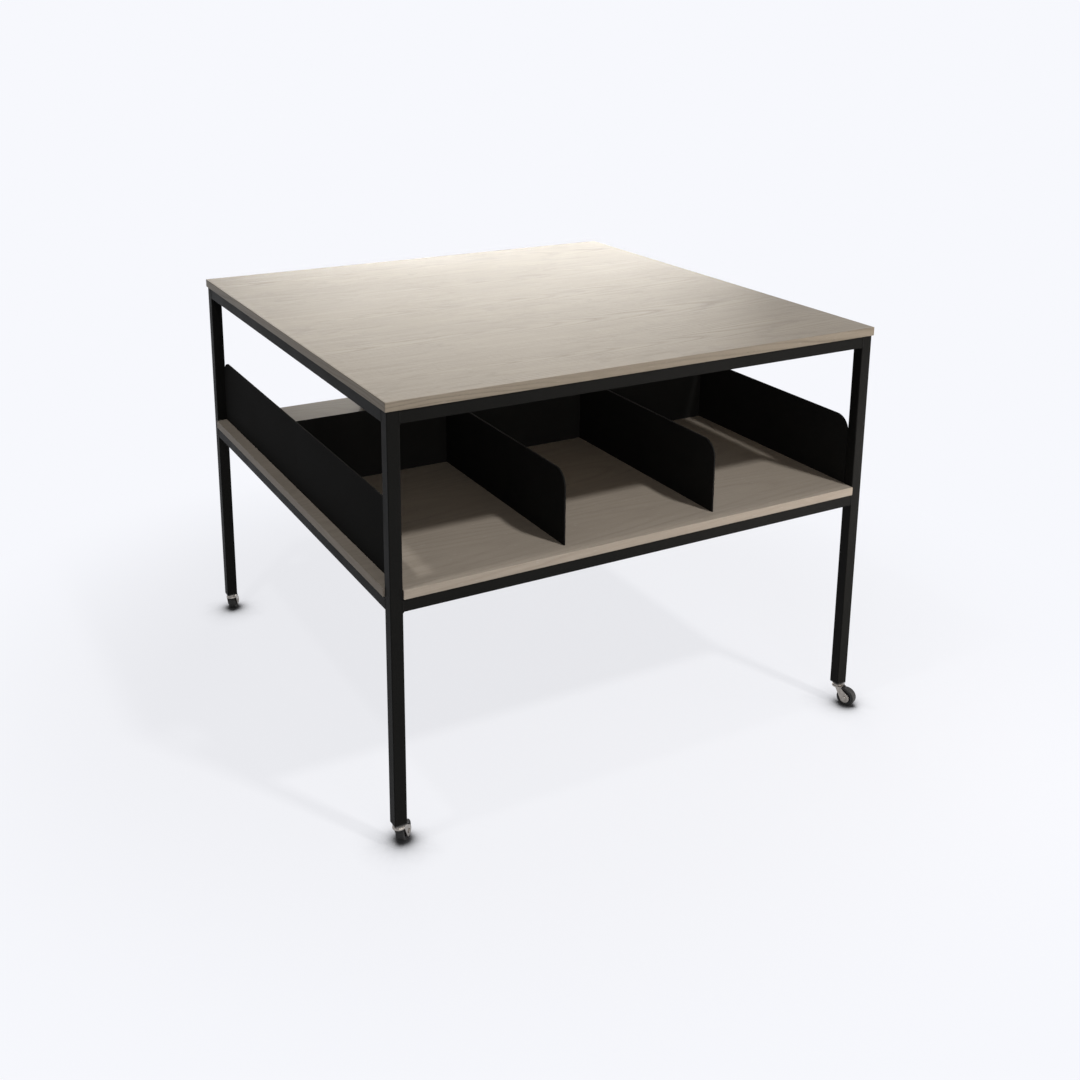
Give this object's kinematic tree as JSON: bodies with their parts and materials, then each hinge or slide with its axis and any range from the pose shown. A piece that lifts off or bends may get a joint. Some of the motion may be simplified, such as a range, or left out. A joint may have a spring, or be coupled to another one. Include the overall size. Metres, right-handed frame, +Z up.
{
  "type": "display table",
  "caption": "Square two-level display table: grey-oak top and shelf in a black square-tube frame, open compartments between low sheet-steel panels, on swivel castors.",
  "frame": {"origin": "on the floor under the centre of the table", "axes": "+X along the front from left to right, +Y from front to back, +Z up"},
  "size_m": [1.1154, 1.1562, 0.875],
  "materials": {
    "powder_coated_steel": "black fine-textured powder coat, satin-matt",
    "powder_coated_sheet": "black fine-textured powder coat, matt",
    "oak_veneer_top": "grey-washed oak veneer, matt lacquer",
    "oak_veneer_shelf": "grey-washed oak veneer, matt lacquer",
    "zinc_fixings": "bright zinc plate",
    "castor_steel": "bright zinc-plated pressed steel",
    "castor_socket_plastic": "black moulded nylon",
    "castor_hub_plastic": "dark grey moulded nylon",
    "castor_rubber": "black non-marking rubber, matt"
  },
  "bodies": {
    "table": {"leg_front_left": "powder_coated_steel", "leg_front_right": "powder_coated_steel", "leg_back_left": "powder_coated_steel", "leg_back_right": "powder_coated_steel", "top_rail_front": "powder_coated_steel", "top_rail_back": "powder_coated_steel", "top_rail_left": "powder_coated_steel", "top_rail_right": "powder_coated_steel", "top_rail_cross": "powder_coated_steel", "shelf_rail_front": "powder_coated_steel", "shelf_rail_back": "powder_coated_steel", "shelf_rail_left": "powder_coated_steel", "shelf_rail_right": "powder_coated_steel", "shelf_rail_cross": "powder_coated_steel", "top_board": "oak_veneer_top", "shelf_board_front": "oak_veneer_shelf", "shelf_board_back": "oak_veneer_shelf", "side_panel_left": "powder_coated_sheet", "side_panel_right": "powder_coated_sheet", "spine_panel": "powder_coated_sheet", "divider_left": "powder_coated_sheet", "divider_right": "powder_coated_sheet", "panel_cleats": "powder_coated_sheet", "top_screws": "zinc_fixings", "shelf_screws": "zinc_fixings", "cleat_bolts": "zinc_fixings", "cleat_nuts": "zinc_fixings", "cleat_screws": "zinc_fixings", "castor_front_left_socket": "castor_socket_plastic", "castor_front_left_kingpin": "castor_steel", "castor_front_right_socket": "castor_socket_plastic", "castor_front_right_kingpin": "castor_steel", "castor_back_left_socket": "castor_socket_plastic", "castor_back_left_kingpin": "castor_steel", "castor_back_right_socket": "castor_socket_plastic", "castor_back_right_kingpin": "castor_steel"},
    "castor_front_left_swivel_body": {"castor_front_left_balls": "castor_steel", "castor_front_left_fork": "castor_steel", "castor_front_left_axle": "castor_steel"},
    "castor_front_left_wheel_body": {"castor_front_left_hub": "castor_hub_plastic", "castor_front_left_tyre": "castor_rubber"},
    "castor_front_right_swivel_body": {"castor_front_right_balls": "castor_steel", "castor_front_right_fork": "castor_steel", "castor_front_right_axle": "castor_steel"},
    "castor_front_right_wheel_body": {"castor_front_right_hub": "castor_hub_plastic", "castor_front_right_tyre": "castor_rubber"},
    "castor_back_left_swivel_body": {"castor_back_left_balls": "castor_steel", "castor_back_left_fork": "castor_steel", "castor_back_left_axle": "castor_steel"},
    "castor_back_left_wheel_body": {"castor_back_left_hub": "castor_hub_plastic", "castor_back_left_tyre": "castor_rubber"},
    "castor_back_right_swivel_body": {"castor_back_right_balls": "castor_steel", "castor_back_right_fork": "castor_steel", "castor_back_right_axle": "castor_steel"},
    "castor_back_right_wheel_body": {"castor_back_right_hub": "castor_hub_plastic", "castor_back_right_tyre": "castor_rubber"}
  },
  "joints": [
    {"name": "castor_front_left_swivel", "type": "hinge", "parent": "table", "child": "castor_front_left_swivel_body", "pos_m": [-0.5375, -0.5375, 0.044], "axis": [0, 0, 1], "continuous": true},
    {"name": "castor_front_left_roll", "type": "hinge", "parent": "castor_front_left_swivel_body", "child": "castor_front_left_wheel_body", "pos_m": [-0.52194, -0.52194, 0.02], "axis": [-0.7071, 0.7071, 0], "continuous": true},
    {"name": "castor_front_right_swivel", "type": "hinge", "parent": "table", "child": "castor_front_right_swivel_body", "pos_m": [0.5375, -0.5375, 0.044], "axis": [0, 0, 1], "continuous": true},
    {"name": "castor_front_right_roll", "type": "hinge", "parent": "castor_front_right_swivel_body", "child": "castor_front_right_wheel_body", "pos_m": [0.5468, -0.55744, 0.02], "axis": [0.9063, 0.4226, 0], "continuous": true},
    {"name": "castor_back_left_swivel", "type": "hinge", "parent": "table", "child": "castor_back_left_swivel_body", "pos_m": [-0.5375, 0.5375, 0.044], "axis": [0, 0, 1], "continuous": true},
    {"name": "castor_back_left_roll", "type": "hinge", "parent": "castor_back_left_swivel_body", "child": "castor_back_left_wheel_body", "pos_m": [-0.52751, 0.5571, 0.02], "axis": [-0.891, 0.454, 0], "continuous": true},
    {"name": "castor_back_right_swivel", "type": "hinge", "parent": "table", "child": "castor_back_right_swivel_body", "pos_m": [0.5375, 0.5375, 0.044], "axis": [0, 0, 1], "continuous": true},
    {"name": "castor_back_right_roll", "type": "hinge", "parent": "castor_back_right_swivel_body", "child": "castor_back_right_wheel_body", "pos_m": [0.52717, 0.55692, 0.02], "axis": [-0.8829, -0.4695, 0], "continuous": true}
  ]
}
